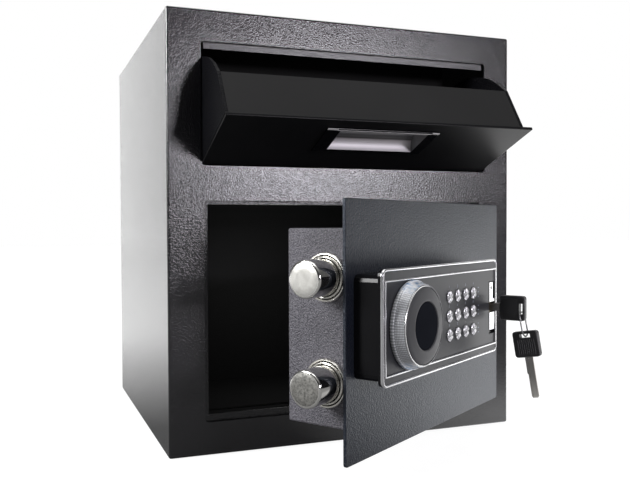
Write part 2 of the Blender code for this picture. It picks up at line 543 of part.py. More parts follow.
rear = prism("hopper_rear_plate",
             [polar(14.0, FLOOR_ANGLE, -1.0), polar(95.6, FLOOR_ANGLE, -1.0), polar(95.6, FLOOR_ANGLE, 1.0),
              polar(14.0, FLOOR_ANGLE, 1.0)], "X", BETWEEN, SMOOTH, HOPPER)
join(rear, prism("join_rear_tab",
                 [polar(90.0, FLOOR_ANGLE, -1.0), polar(106.8, FLOOR_ANGLE, -1.0), polar(106.8, FLOOR_ANGLE, 1.0),
                  polar(90.0, FLOOR_ANGLE, 1.0)], "X", (-40.0, 40.0), None, HOPPER))

# recessed pull: a black shell let into the panel, with a silver scoop in it
pull = block("pull_handle_shell", (-60.5, 61.5), (-1.2, 0.2), (352.8, 400.2), GLOSS, HOPPER, edge=0.5, steps=2)
join(pull, block("join_pull_cup", (-49.5, 53.5), (-0.6, 17.0), (356.2, 397.2), None, HOPPER))
cut_block(pull, "pull_recess", (-46.4, 50.4), (-5.0, 15.4), (357.7, 396.0), HOPPER)

SCOOP_X, SCOOP_Z, SCOOP_D = (-46.1, 50.1), (358.0, 395.7), (-1.6, 15.1)
liner = block("pull_handle_liner", SCOOP_X, SCOOP_D, SCOOP_Z, CHROME, HOPPER)
mid_z = (SCOOP_Z[0] + SCOOP_Z[1]) / 2
half = (SCOOP_Z[1] - SCOOP_Z[0]) / 2 - 1.0
cut(liner, prism("cut_scoop",
                 [(-6.0, mid_z + half), (-6.0, mid_z - half)]
                 + [(14.2 * math.sin(math.radians(a)), mid_z - half * math.cos(math.radians(a)))
                    for a in range(0, 181, 15)], "X", (SCOOP_X[0] + 1.0, SCOOP_X[1] - 1.0), None, HOPPER))

# ------------------------------------------------------------ to rest pose
door_axis.rotation_euler = (0.0, 0.0, math.radians(DOOR_ANGLE))
hopper_axis.rotation_euler = (math.radians(HOPPER_ANGLE), 0.0, 0.0)
ring_axis.rotation_euler = (math.radians(RING_LEAN), 0.0, math.radians(RING_YAW))
# the second key faces the same way as the first, and leans by itself
key2_axis.rotation_euler = (ring_axis.rotation_euler.to_matrix().inverted()
                            @ Euler((math.radians(KEY2_LEAN), 0.0, 0.0)).to_matrix()).to_euler()
bpy.context.view_layer.update()
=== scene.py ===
"""Looks of the drop-box safe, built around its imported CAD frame.  Lengths in the shape code are millimetres in the
shut position, a depth d is measured from the front face to the back; each group's matrix carries it to the rest pose."""

import math
import random

import bmesh
import bpy
from mathutils import Euler, Matrix, Vector


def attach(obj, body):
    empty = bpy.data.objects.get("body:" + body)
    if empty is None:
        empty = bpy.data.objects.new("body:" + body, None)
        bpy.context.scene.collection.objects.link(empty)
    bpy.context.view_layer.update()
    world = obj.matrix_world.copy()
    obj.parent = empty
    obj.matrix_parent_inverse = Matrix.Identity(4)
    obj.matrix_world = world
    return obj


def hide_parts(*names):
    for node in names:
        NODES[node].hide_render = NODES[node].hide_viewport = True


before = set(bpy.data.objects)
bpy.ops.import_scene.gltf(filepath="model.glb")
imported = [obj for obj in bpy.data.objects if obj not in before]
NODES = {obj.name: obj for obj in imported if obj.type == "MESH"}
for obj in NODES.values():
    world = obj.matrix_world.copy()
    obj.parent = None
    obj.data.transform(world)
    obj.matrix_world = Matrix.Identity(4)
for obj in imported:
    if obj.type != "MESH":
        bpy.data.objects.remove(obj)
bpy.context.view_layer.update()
random.seed(7)

# ------------------------------------------------------------------ groups
DOOR_ANGLE, HOPPER_ANGLE = 33.2, 68.9
PX, PY = 189.0, 23.0
PD, PZ = 14.4, 305.3
SPINDLE = (-101.0, 147.6)
KX, KZ = 75.5, 147.6
FACE_D = -28.0
HEAD_T, RING_WIRE, RING_HALF, RING_LONG = 6.6, 0.8, 5.8, 24.6
BEAR = math.sqrt(RING_HALF ** 2 - (HEAD_T / 2) ** 2)
HANG = (KX, -59.9, KZ - 6.0 + RING_WIRE + 0.5)
LOOP_TOP = HANG[2] + RING_HALF - BEAR
FOOT = (HANG[0], HANG[1], LOOP_TOP - RING_LONG)


def at(x, d, z):
    return Vector((x, d - 180.0, z)) / 1000


def about(point, rotation):
    return Matrix.Translation(point) @ rotation.to_4x4() @ Matrix.Translation(-point)


M_ROOT = Matrix.Identity(4)
M_DOOR = about(at(PX, PY, 0), Matrix.Rotation(math.radians(DOOR_ANGLE), 3, "Z"))
M_HOPPER = about(at(0, PD, PZ), Matrix.Rotation(math.radians(HOPPER_ANGLE), 3, "X"))
M_RING = M_DOOR @ about(at(*HANG), Euler((math.radians(-11), 0, math.radians(-6))).to_matrix())
_foot = M_RING @ at(*FOOT)
M_KEY2 = Matrix.Translation(_foot) @ (Matrix.Rotation(math.radians(DOOR_ANGLE), 4, "Z")
                                      @ Matrix.Rotation(math.radians(-9.5), 4, "X")) @ Matrix.Translation(-at(*FOOT))
GROUPS = {"cabinet": M_ROOT, "door": M_DOOR, "knob": M_DOOR, "bolts": M_DOOR, "plug": M_DOOR, "key_1": M_DOOR,
          "ring": M_RING, "key_2": M_KEY2, "hopper": M_HOPPER}


# --------------------------------------------------------------- materials
def nodes_of(name):
    made = bpy.data.materials.new(name)
    made.use_nodes = True
    tree = made.node_tree
    return made, tree, tree.nodes["Principled BSDF"]


def put(tree, kind, **sockets):
    node = tree.nodes.new(kind)
    for key, value in sockets.items():
        setattr(node, key, value)
    return node


def ramp(tree, source, stops):
    node = tree.nodes.new("ShaderNodeValToRGB")
    while len(node.color_ramp.elements) < len(stops):
        node.color_ramp.elements.new(0.5)
    for element, (place, colour) in zip(node.color_ramp.elements, stops):
        element.position = place
        element.color = (*colour, 1.0) if len(colour) == 3 else colour
    tree.links.new(source, node.inputs["Fac"])
    return node.outputs["Color"]


def scaled(tree, source, low, high, clamp=True):
    node = put(tree, "ShaderNodeMapRange", clamp=clamp)
    node.inputs["To Min"].default_value = low
    node.inputs["To Max"].default_value = high
    tree.links.new(source, node.inputs["Value"])
    return node.outputs["Result"]


def maths(tree, operation, a, b):
    node = put(tree, "ShaderNodeMath", operation=operation)
    for socket, value in zip(node.inputs, (a, b)):
        if isinstance(value, (int, float)):
            socket.default_value = value
        else:
            tree.links.new(value, socket)
    return node.outputs[0]


def coords(tree, scale=(1, 1, 1)):
    where = tree.nodes.new("ShaderNodeTexCoord")
    if scale == (1, 1, 1):
        return where.outputs["Object"]
    mapping = tree.nodes.new("ShaderNodeMapping")
    mapping.inputs["Scale"].default_value = scale
    tree.links.new(where.outputs["Object"], mapping.inputs["Vector"])
    return mapping.outputs["Vector"]


def noise(tree, vector, scale, detail=3.0, rough=0.55):
    node = tree.nodes.new("ShaderNodeTexNoise")
    node.inputs["Scale"].default_value = scale
    node.inputs["Detail"].default_value = detail
    node.inputs["Roughness"].default_value = rough
    tree.links.new(vector, node.inputs["Vector"])
    return node.outputs["Fac"]


def voronoi(tree, vector, scale, feature="SMOOTH_F1", smooth=0.6):
    node = put(tree, "ShaderNodeTexVoronoi", feature=feature)
    node.inputs["Scale"].default_value = scale
    if feature == "SMOOTH_F1":
        node.inputs["Smoothness"].default_value = smooth
    tree.links.new(vector, node.inputs["Vector"])
    return node.outputs["Distance"]


def bump(tree, shader, height, strength, distance):
    node = tree.nodes.new("ShaderNodeBump")
    node.inputs["Strength"].default_value = strength
    node.inputs["Distance"].default_value = distance
    tree.links.new(height, node.inputs["Height"])
    tree.links.new(node.outputs["Normal"], shader.inputs["Normal"])


def scaled_range(tree, source, low, high):
    node = put(tree, "ShaderNodeMapRange", clamp=True)
    node.inputs["From Min"].default_value = low
    node.inputs["From Max"].default_value = high
    tree.links.new(source, node.inputs["Value"])
    return node.outputs["Result"]


def coat(name, dark, light, rough, cell=0.0021, depth=0.00075, strength=0.85, specular=0.5, fleck=0.35,
         tint=(1.0, 1.0, 1.0)):
    """Textured powder coat: flattened beads with fine valleys between them, and a slow change of gloss."""
    made, tree, shader = nodes_of(name)
    where = coords(tree)
    warp = noise(tree, where, 0.5 / cell, 2.0)
    beads = voronoi(tree, where, 1.0 / cell, smooth=0.5)
    grain = noise(tree, where, 1.5 / cell, 2.0, 0.6)
    height = maths(tree, "ADD", maths(tree, "MULTIPLY", beads, -0.45), maths(tree, "MULTIPLY", grain, 1.0))
    height = maths(tree, "ADD", height, maths(tree, "MULTIPLY", warp, 0.25))
    bump(tree, shader, height, strength, depth)
    slow = noise(tree, where, 9.0, 2.0)
    mixed = maths(tree, "ADD", maths(tree, "MULTIPLY", slow, 1.0 - fleck), maths(tree, "MULTIPLY", grain, fleck))
    tree.links.new(ramp(tree, mixed, [(0.38, dark), (0.60, light)]), shader.inputs["Base Color"])
    tree.links.new(scaled(tree, grain, rough - 0.06, rough + 0.08), shader.inputs["Roughness"])
    shader.inputs["Specular IOR Level"].default_value = specular
    shader.inputs["Specular Tint"].default_value = (*tint, 1.0)
    return made


def painted_shade_inside(made):
    """The same coat, with painted shade on the inner faces of the cabinet: there its colour becomes a flat grey with no
    gloss, standing in for how the shaded inside looks.
    """
    tree = made.node_tree
    shader = tree.nodes["Principled BSDF"]
    split = tree.nodes.new("ShaderNodeSeparateXYZ")
    tree.links.new(coords(tree), split.inputs[0])
    inner = maths(tree, "LESS_THAN", maths(tree, "ABSOLUTE", split.outputs["X"], 0.0), 0.1988)
    for value, low, high in ((split.outputs["Y"], -0.1788, 0.1795), (split.outputs["Z"], 0.0012, 0.4488)):
        inner = maths(tree, "MULTIPLY", inner, maths(tree, "GREATER_THAN", value, low))
        inner = maths(tree, "MULTIPLY", inner, maths(tree, "LESS_THAN", value, high))
    mix = tree.nodes.new("ShaderNodeMix")
    mix.data_type = "RGBA"
    tree.links.new(inner, mix.inputs["Factor"])
    tree.links.new(shader.inputs["Base Color"].links[0].from_socket, mix.inputs["A"])
    # painted shade: flat grey base colour on the cabinet's inner faces
    mix.inputs["B"].default_value = (0.055, 0.055, 0.055, 1.0)
    tree.links.new(mix.outputs["Result"], shader.inputs["Base Color"])
    outside = shader.inputs["Specular IOR Level"].default_value
    tree.links.new(scaled(tree, inner, outside, 0.0), shader.inputs["Specular IOR Level"])
    return made


def metal(name, colour, rough, fine=0.0, streak=None, blotch=0.0, strength=0.1):
    """Plated or brushed metal.  `streak` stretches the grain along an axis."""
    made, tree, shader = nodes_of(name)
    shader.inputs["Metallic"].default_value = 1.0
    where = coords(tree, streak or (1, 1, 1))
    grain = noise(tree, where, fine or 600.0, 4.0, 0.6)
    cloud = noise(tree, coords(tree), 60.0, 3.0, 0.6)
    tone = maths(tree, "ADD", maths(tree, "MULTIPLY", grain, 0.5), maths(tree, "MULTIPLY", cloud, 0.5))
    low = tuple(c * (1 - 0.10 - blotch) for c in colour)
    tree.links.new(ramp(tree, tone, [(0.35, low), (0.62, colour)]), shader.inputs["Base Color"])
    tree.links.new(scaled(tree, grain, max(rough - 0.04, 0.02), rough + 0.06), shader.inputs["Roughness"])
    bump(tree, shader, grain, strength, 0.00004)
    return made


def plastic(name, colour, rough, specular=0.5, grain_size=0.0004, depth=0.00002, vary=0.12, coat_weight=0.0):
    made, tree, shader = nodes_of(name)
    where = coords(tree)
    grain = noise(tree, where, 1.0 / grain_size, 3.0)
    slow = noise(tree, where, 25.0, 2.0)
    low = tuple(c * (1 - vary) for c in colour)
    high = tuple(min(c * (1 + vary), 1.0) for c in colour)
    tree.links.new(ramp(tree, slow, [(0.3, low), (0.7, high)]), shader.inputs["Base Color"])
    tree.links.new(scaled(tree, grain, max(rough - 0.03, 0.02), rough + 0.05), shader.inputs["Roughness"])
    shader.inputs["Specular IOR Level"].default_value = specular
    shader.inputs["Coat Weight"].default_value = coat_weight
    bump(tree, shader, grain, 0.25, depth)
    return made


MAT = {
    "cabinet": painted_shade_inside(coat("textured_coat_cabinet", (0.0028, 0.0028, 0.0038), (0.0080, 0.0076, 0.0098), 0.15,
                                  cell=0.0019, specular=0.80, depth=0.00024, strength=1.0)),
    "frame": coat("textured_coat_frame", (0.0030, 0.0030, 0.0040), (0.0085, 0.0080, 0.0100), 0.22, cell=0.0020,
                  specular=0.80, depth=0.00040, strength=1.0),
    "stop": coat("textured_coat_stop", (0.010, 0.010, 0.012), (0.020, 0.019, 0.023), 0.30, specular=0.9, depth=0.0003),
    "inside": coat("textured_coat_inside", (0.0130, 0.0130, 0.0130), (0.0170, 0.0170, 0.0170), 0.60, specular=0.06,
                   depth=0.0003),
    "door": coat("textured_coat_door", (0.0030, 0.0048, 0.0110), (0.0190, 0.0215, 0.0290), 0.32, cell=0.0019,
                 depth=0.00048, strength=1.0, specular=0.50, fleck=0.6, tint=(0.80, 0.88, 1.0)),
    "casing": coat("textured_coat_casing", (0.040, 0.038, 0.048), (0.160, 0.153, 0.180), 0.38, cell=0.0018,
                   depth=0.0009, strength=1.0, specular=0.6, fleck=0.7),
    "hopper": coat("smooth_coat_hopper", (0.0085, 0.0085, 0.0093), (0.0115, 0.0115, 0.0123), 0.34, cell=0.0020,
                   depth=0.00006, strength=0.3, specular=0.10),
    "cheek": coat("textured_coat_cheek", (0.0012, 0.0012, 0.0018), (0.0050, 0.0050, 0.0065), 0.42, specular=0.08),
    "cover": coat("satin_coat_cover", (0.0180, 0.0180, 0.0180), (0.0205, 0.0205, 0.0205), 0.62, cell=0.0011,
                  depth=0.00004, strength=0.3, specular=0.12),
    "chrome": metal("chrome", (0.80, 0.79, 0.76), 0.10, 400.0),
    "chrome_trim": metal("chrome_trim", (0.80, 0.80, 0.82), 0.22, 500.0),
    "collar": metal("chrome_collar", (0.86, 0.84, 0.79), 0.27, 300.0),
    "steel": metal("zinc_steel", (0.56, 0.56, 0.54), 0.34, 500.0, streak=(1, 1, 0.15)),
    "key_blade": metal("nickel_key", (0.60, 0.58, 0.55), 0.30, 700.0, streak=(1, 1, 0.08), strength=0.2),
    # painted shade: the lock's brass is darkened to the shade it sits in between the escutcheons
    "brass": metal("brass", (0.20, 0.175, 0.13), 0.30, 500.0),
    "gloss": plastic("gloss_black", (0.005, 0.005, 0.006), 0.20, specular=0.15),
    "face": plastic("panel_face", (0.032, 0.033, 0.038), 0.36, specular=0.36),
    "knob_face": plastic("knob_face", (0.074, 0.075, 0.079), 0.42, specular=0.25),
    "cap": plastic("knob_cap", (0.0142, 0.0156, 0.0197), 0.36, specular=0.0),
    "key_head": plastic("key_head", (0.017, 0.017, 0.018), 0.42, grain_size=0.0007, depth=0.00006),
    "print": plastic("pale_print", (0.34, 0.38, 0.46), 0.50),
    "board": plastic("circuit_board", (0.02, 0.16, 0.06), 0.45),
    "battery": plastic("battery_case", (0.014, 0.014, 0.015), 0.45),
    "solenoid": plastic("solenoid_tape", (0.55, 0.42, 0.06), 0.40),
    "screw": metal("screw_zinc", (0.62, 0.61, 0.57), 0.26, 900.0),
    # painted shade: near-black for the collar's groove and the screw slots, where shade falls; it also colours the
    # keypad trim's seat and the back seam bead
    "dark": plastic("painted_shade_and_joint_black", (0.004, 0.004, 0.004), 0.50, specular=0.2),
}


def scoop(name, stops, rough=0.30):
    """Brushed silver trough.  Its tone changes across the trough in painted highlight and painted shade bands, with
    fine streaks along it.
    """
    made, tree, shader = nodes_of(name)
    shader.inputs["Metallic"].default_value = 0.25
    split = tree.nodes.new("ShaderNodeSeparateXYZ")
    tree.links.new(coords(tree), split.inputs[0])
    across = put(tree, "ShaderNodeMapRange", clamp=True)
    across.inputs["From Min"].default_value = 0.3580
    across.inputs["From Max"].default_value = 0.3957
    tree.links.new(split.outputs["Z"], across.inputs["Value"])
    streaks = noise(tree, coords(tree, (3, 1, 900)), 1.0, 3.0, 0.6)
    place = maths(tree, "ADD", across.outputs["Result"], scaled(tree, streaks, -0.012, 0.012))
    tree.links.new(ramp(tree, place, stops), shader.inputs["Base Color"])
    shader.inputs["Roughness"].default_value = rough
    return made


# painted highlight and painted shade: light bands near the top and a dark band across the trough; its ends are painted
# dark, darker towards the bottom
MAT["scoop"] = scoop("silver_scoop_painted_light", [(0.0, (0.60, 0.58, 0.60)), (0.03, (0.80, 0.77, 0.80)), (0.13, (0.66, 0.62, 0.65)),
                                      (0.155, (0.10, 0.09, 0.095)), (0.185, (0.19, 0.185, 0.19)), (0.24, (0.17, 0.17, 0.175)),
                                      (0.30, (0.42, 0.41, 0.42))], 0.5)
MAT["scoop_end"] = scoop("silver_scoop_end_painted_shade", [(0.0, (0.07, 0.07, 0.07)), (0.15, (0.12, 0.12, 0.125)),
                                              (0.4, (0.22, 0.22, 0.225))], 0.5)
# painted highlight: pale strip and tabs along the handle's top edge
MAT["painted_highlight_line"] = plastic("painted_highlight_line", (0.62, 0.61, 0.61), 0.35)


def around_spindle(tree):
    """(radius, angle, height) of a point about the knob's axis, on the shut door."""
    split = tree.nodes.new("ShaderNodeSeparateXYZ")
    tree.links.new(coords(tree), split.inputs[0])
    x = maths(tree, "SUBTRACT", split.outputs["X"], SPINDLE[0] / 1000)
    z = maths(tree, "SUBTRACT", split.outputs["Z"], SPINDLE[1] / 1000)
    radius = maths(tree, "SQRT", maths(tree, "ADD", maths(tree, "MULTIPLY", x, x), maths(tree, "MULTIPLY", z, z)), 0.0)
    return radius, maths(tree, "ARCTAN2", z, x), z, split.outputs["Y"]


def clear_plastic(name, tones, lines, rings, metallic=0.35):
    """Clear ribbed moulding that is silvered behind.  It has painted highlights, white and bluish, at its top and
    bottom, where the ribs gather light, and is grey with a fine grid at the sides."""
    made, tree, shader = nodes_of(name)
    radius, angle, z, depth = around_spindle(tree)
    ribs = maths(tree, "SINE", maths(tree, "MULTIPLY", angle, float(lines)), 0.0)
    hoops = maths(tree, "SINE", maths(tree, "MULTIPLY", depth, float(rings)), 0.0)
    grid = maths(tree, "ADD", scaled_range(tree, ribs, -0.2, 0.9), scaled_range(tree, hoops, 0.0, 0.9))
    tall = maths(tree, "ABSOLUTE", z, 0.0)
    # painted highlight: white and bluish bands at the grip's top and bottom
    glow = scaled_range(tree, tall, 0.0275, 0.0350)
    base = ramp(tree, maths(tree, "MULTIPLY", grid, 0.5), [(0.0, tones[0]), (0.55, tones[1]), (1.0, tones[2])])
    mix = tree.nodes.new("ShaderNodeMix")
    mix.data_type = "RGBA"
    tree.links.new(glow, mix.inputs["Factor"])
    tree.links.new(base, mix.inputs["A"])
    cloud = noise(tree, coords(tree), 260.0, 2.0)
    tree.links.new(ramp(tree, cloud, [(0.38, (0.30, 0.44, 0.66)), (0.52, (0.80, 0.86, 0.94)), (0.66, (0.97, 0.98, 1.0))]),
                   mix.inputs["B"])
    tree.links.new(mix.outputs["Result"], shader.inputs["Base Color"])
    shader.inputs["Roughness"].default_value = 0.22
    shader.inputs["Metallic"].default_value = metallic
    shader.inputs["Coat Weight"].default_value = 0.6
    shader.inputs["Coat Roughness"].default_value = 0.06
    bump(tree, shader, grid, 0.5, 0.00012)
    return made


def mottled_end(name, colour, low, scale):
    """A bolt's end face, mottled; the lower bolt's end is darker and more finely mottled than the upper's."""
    made, tree, shader = nodes_of(name)
    shader.inputs["Metallic"].default_value = 1.0
    where = coords(tree)
    cloud = noise(tree, where, scale, 6.0, 0.75)
    tree.links.new(ramp(tree, cloud, [(0.36, low), (0.60, colour)]), shader.inputs["Base Color"])
    tree.links.new(scaled(tree, cloud, 0.22, 0.42), shader.inputs["Roughness"])
    bump(tree, shader, cloud, 0.25, 0.00006)
    return made


MAT["clear"] = clear_plastic("clear_grip_band", ((0.24, 0.25, 0.26), (0.42, 0.43, 0.45), (0.74, 0.76, 0.79)), 110, 5200)
MAT["clear_skirt"] = clear_plastic("clear_grip_skirt", ((0.22, 0.23, 0.24), (0.62, 0.64, 0.66), (0.95, 0.96, 0.98)),
                                   90, 5600, 0.2)
MAT["bolt_end_upper"] = mottled_end("bolt_end_plain", (0.82, 0.81, 0.77), (0.74, 0.73, 0.69), 220.0)
MAT["bolt_end_lower"] = mottled_end("bolt_end_mottled", (0.50, 0.49, 0.46), (0.20, 0.20, 0.19), 420.0)


def ring_painted_light_sides(name):
    """A polished edge with painted highlight and painted shade: painted bright towards the bolts and painted dark
    towards the keys.
    """
    made = metal(name, (0.84, 0.84, 0.85), 0.24, 500.0)
    tree = made.node_tree
    shader = tree.nodes["Principled BSDF"]
    split = tree.nodes.new("ShaderNodeSeparateXYZ")
    tree.links.new(coords(tree), split.inputs[0])
    side = scaled_range(tree, split.outputs["X"], (SPINDLE[0] - 10) / 1000, (SPINDLE[0] + 12) / 1000)
    mix = tree.nodes.new("ShaderNodeMix")
    mix.data_type = "RGBA"
    tree.links.new(side, mix.inputs["Factor"])
    tree.links.new(shader.inputs["Base Color"].links[0].from_socket, mix.inputs["A"])
    # painted shade: dark grey on the side towards the keys
    mix.inputs["B"].default_value = (0.10, 0.10, 0.11, 1.0)
    tree.links.new(mix.outputs["Result"], shader.inputs["Base Color"])
    return made


MAT["knob_ring"] = ring_painted_light_sides("knob_ring_chrome_painted_light")
# painted shading: the wire's uniform grey is set to how it looks lit, not to the steel's own colour
MAT["ring"] = metal("ring_wire_painted_tone", (0.34, 0.34, 0.34), 0.30, 500.0)
MAT["button"] = metal("button_silver", (0.78, 0.78, 0.80), 0.34, 700.0)

# carried-over CAD nodes
for name, key in {
    "back_panel": "cabinet", "drop_baffle": "inside", "compartment_shelf": "inside", "hopper_stop_plate": "inside",
    "hopper_bracket_left": "steel", "hopper_bracket_right": "steel", "hinge_bracket_upper": "steel",
    "hinge_bracket_lower": "steel", "hinge_arm_upper": "steel", "hinge_arm_lower": "steel", "bolt_carriage": "steel",
    "knob_spindle": "steel", "cam_disc": "steel", "circuit_board": "board", "solenoid": "solenoid",
    "battery_case": "battery", "lock_cylinder": "brass", "lock_plug": "brass", "hopper_rear_plate": "hopper",
    "cabinet_body": "cabinet", "door_stop_frame": "frame", "hopper_top_stop": "stop", "door_plate": "door",
    "lock_casing": "casing", "bolt_collar_upper": "collar", "bolt_collar_lower": "collar", "bolt_upper": "chrome",
    "bolt_lower": "chrome", "keypad_housing": "gloss", "keypad_trim": "chrome_trim",
    "keypad_inner_trim": "chrome_trim", "keypad_face": "face", "key_escutcheon_upper": "chrome_trim",
    "key_escutcheon_lower": "chrome_trim", "knob_grip": "clear", "knob_face": "knob_face", "knob_cap": "cap",
    "key_1_head": "key_head", "key_2_head": "key_head", "key_1_blade": "key_blade", "key_2_blade": "key_blade",
    "key_ring": "ring", "hopper_front_panel": "hopper", "hopper_cover_panel": "cover",
    "hopper_cheek_left": "cheek", "hopper_cheek_right": "cheek", "pull_handle_shell": "gloss",
    "pull_handle_liner": "scoop",
}.items():
    NODES[name].data.materials.clear()
    NODES[name].data.materials.append(MAT[key])
for r in (1, 2, 3):
    for c in (1, 2, 3, 4):
        NODES["button_%d%d" % (r, c)].data.materials.clear()
        NODES["button_%d%d" % (r, c)].data.materials.append(MAT["button"])

# ------------------------------------------------------------- fine shapes
def piece(name, bm, paints, group, stands_for=(), body=None, sharp=30, smooth=True):
    """An object from a bmesh drawn in shut-position millimetres."""
    bmesh.ops.recalc_face_normals(bm, faces=bm.faces)
    for vert in bm.verts:
        vert.co = at(*vert.co)
    mesh = bpy.data.meshes.new(name)
    bm.to_mesh(mesh)
    bm.free()
    for paint in paints:
        mesh.materials.append(MAT[paint])
    if smooth:
        mesh.shade_smooth()
        mesh.set_sharp_from_angle(angle=math.radians(sharp))
    made = bpy.data.objects.new(name, mesh)
    bpy.context.scene.collection.objects.link(made)
    made.matrix_world = GROUPS[group]
    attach(made, body or group)
    if stands_for:
        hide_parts(*stands_for)
    return made


def add_box(bm, x, d, z, edge=0.0, steps=3, paint=0):
    verts = bmesh.ops.create_cube(bm, size=1.0)["verts"]
    for vert in verts:
        vert.co = Vector((x[vert.co.x > 0], d[vert.co.y > 0], z[vert.co.z > 0]))
    faces = {f for v in verts for f in v.link_faces}
    for f in faces:
        f.material_index = paint
    if edge:
        edges = list({e for v in verts for e in v.link_edges})
        made = bmesh.ops.bevel(bm, geom=edges, offset=edge, segments=steps, profile=0.5, affect="EDGES")
        for f in made["faces"]:
            f.material_index = paint


def turn_to(axis, a, b, along):
    return {"X": (along, a, b), "Y": (a, along, b), "Z": (a, b, along)}[axis]


def add_loops(bm, loops, closed=False, caps=False, paints=None):
    """Bridges loops of the same number of points, each a closed outline."""
    rings = [[bm.verts.new(p) for p in loop] for loop in loops]
    pairs = list(zip(rings, rings[1:])) + ([(rings[-1], rings[0])] if closed else [])
    for j, (one, two) in enumerate(pairs):
        for k in range(len(one)):
            n = (k + 1) % len(one)
            f = bm.faces.new((one[k], two[k], two[n], one[n]))
            if paints:
                f.material_index = paints[j]
    if caps:
        f = bm.faces.new(rings[0])
        g = bm.faces.new(rings[-1])
        if paints:
            f.material_index, g.material_index = paints[0], paints[-1]
    return rings


def add_turned(bm, profile, axis, centre, steps=96, paints=None, closed=False, wave=None):
    """Revolves (along, radius) points.  `wave(step, along, radius)` can shift a point's radius."""
    loops = []
    for along, radius in profile:
        ring = []
        for k in range(steps):
            r = max(radius, 0.01) + (wave(k, along, radius) if wave and radius > 1 else 0.0)
            ring.append(turn_to(axis, centre[0] + r * math.cos(2 * math.pi * k / steps),
                                centre[1] + r * math.sin(2 * math.pi * k / steps), along))
        loops.append(ring)
    add_loops(bm, loops, closed=closed, caps=not closed, paints=paints)


def rounded(x, z, radius, steps=8):
    points = []
    for cx, cz, start in ((x[1] - radius, z[1] - radius, 0), (x[0] + radius, z[1] - radius, 90),
                          (x[0] + radius, z[0] + radius, 180), (x[1] - radius, z[0] + radius, 270)):
        for k in range(steps + 1):
            a = math.radians(start + 90 * k / steps)
            points.append((cx + radius * math.cos(a), cz + radius * math.sin(a)))
    return points


def frame_loops(x, z, radius, width, heights):
    """Loops of a rounded frame: heights are (share of the width, depth)."""
    loops = []
    for share, depth in heights:
        w = width * share
        outline = rounded((x[0] + w, x[1] - w), (z[0] + w, z[1] - w), max(radius - w, 0.15))
        loops.append([(a, depth, b) for a, b in outline])
    return loops


def soften(name, width=0.5, steps=2, angle=35):
    """Rounds a CAD node's edges in the render alone."""
    node = NODES[name]
    change = node.modifiers.new("soft_edges", "BEVEL")
    change.width = width / 1000
    change.segments = steps
    change.limit_method = "ANGLE"
    change.angle_limit = math.radians(angle)
    change.harden_normals = False


for name, width in (("hopper_cover_panel", 0.5), ("hopper_cheek_left", 0.6), ("hopper_cheek_right", 0.6),
                    ("hopper_top_stop", 0.4), ("compartment_shelf", 0.4), ("key_escutcheon_upper", 0.35),
                    ("key_escutcheon_lower", 0.35), ("hopper_rear_plate", 0.4)):
    soften(name, width)

# bolts and their collars
BOLT_R, BOLT_D, TIP, END = 15.75, 24.5, -183.6, -125.0
for place, z in (("upper", 189.0), ("lower", 100.0)):
    bm = bmesh.new()
    profile = [(TIP, 0.0), (TIP, 7.0), (TIP, 13.3), (TIP + 0.15, 13.7), (TIP + 0.1, 14.1), (TIP + 0.25, 14.8),
               (TIP + 0.7, 15.35), (TIP + 1.4, 15.65), (TIP + 2.2, 15.75), (END, 15.75), (END, 0.0)]
    add_turned(bm, profile, "X", (BOLT_D, z), 112, paints=[1, 1, 1] + [0] * 8)
    piece("bolt_%s_shape" % place, bm, ["chrome", "bolt_end_" + place], "bolts", ["bolt_" + place])
    bm = bmesh.new()
    R = BOLT_R
    # painted shade: the collar's groove is painted near-black
    add_turned(bm, [(-151.7, R + 0.5), (-155.0, R + 0.5), (-155.7, R + 0.9), (-155.8, R + 1.5), (-155.5, R + 2.1),
                    (-154.5, R + 2.5), (-153.4, R + 2.7), (-153.4, R + 3.0), (-154.5, R + 3.2), (-155.0, R + 3.7),
                    (-154.9, R + 4.4), (-154.3, R + 5.0), (-153.2, R + 5.3), (-151.7, R + 5.3)],
               "X", (BOLT_D, z), 112, closed=True,
               paints=[0, 0, 0, 0, 0, 1, 1, 1, 0, 0, 0, 0, 0, 0])
    piece("bolt_collar_%s_shape" % place, bm, ["collar", "dark"], "door", ["bolt_collar_" + place])

# keypad trims
PANEL_X, PANEL_Z = (-148.6, 86.6), (101.0, 196.4)
bm = bmesh.new()
add_loops(bm, frame_loops((PANEL_X[0] - 0.6, PANEL_X[1] + 0.6), (PANEL_Z[0] - 0.6, PANEL_Z[1] + 0.6), 6.0, 2.4,
                          [(0, -26.3), (0, -28.1), (0.2, -28.5), (0.5, -28.7), (0.8, -28.5), (1, -28.1), (1, -26.3)]),
          closed=True)
piece("keypad_trim_shape", bm, ["chrome_trim"], "door", ["keypad_trim"], sharp=60)
bm = bmesh.new()
FACE_X = (PANEL_X[0] + 2.1, PANEL_X[1] - 2.1)
loops = []
for loop in frame_loops((FACE_X[0] + 0.2, FACE_X[1] - 0.2), (108.4, 187.8), 0.9, 1.8,
                        [(0, -28.3), (0, -28.9), (0.25, -29.2), (0.75, -29.2), (1, -28.9), (1, -28.3)]):
    # the lower bar is let out round the knob
    lowest = min(p[2] for p in loop)
    full = []
    for one, two in zip(loop, loop[1:] + loop[:1]):
        full.append(one)
        if one[2] < lowest + 0.01 and two[2] < lowest + 0.01 and abs(one[0] - two[0]) > 100:
            full += [(one[0] + (two[0] - one[0]) * k / 80, one[1], lowest) for k in range(1, 80)]
    loops.append([(x, d, SPINDLE[1] - math.sqrt(max(38.6 ** 2 - (x - SPINDLE[0]) ** 2, 0.0)))
                  if z < 120 and math.hypot(x - SPINDLE[0], z - SPINDLE[1]) < 38.6 else (x, d, z) for x, d, z in full])
add_loops(bm, loops, closed=True)
piece("keypad_inner_trim_shape", bm, ["chrome_trim"], "door", ["keypad_inner_trim"], sharp=60)
bm = bmesh.new()
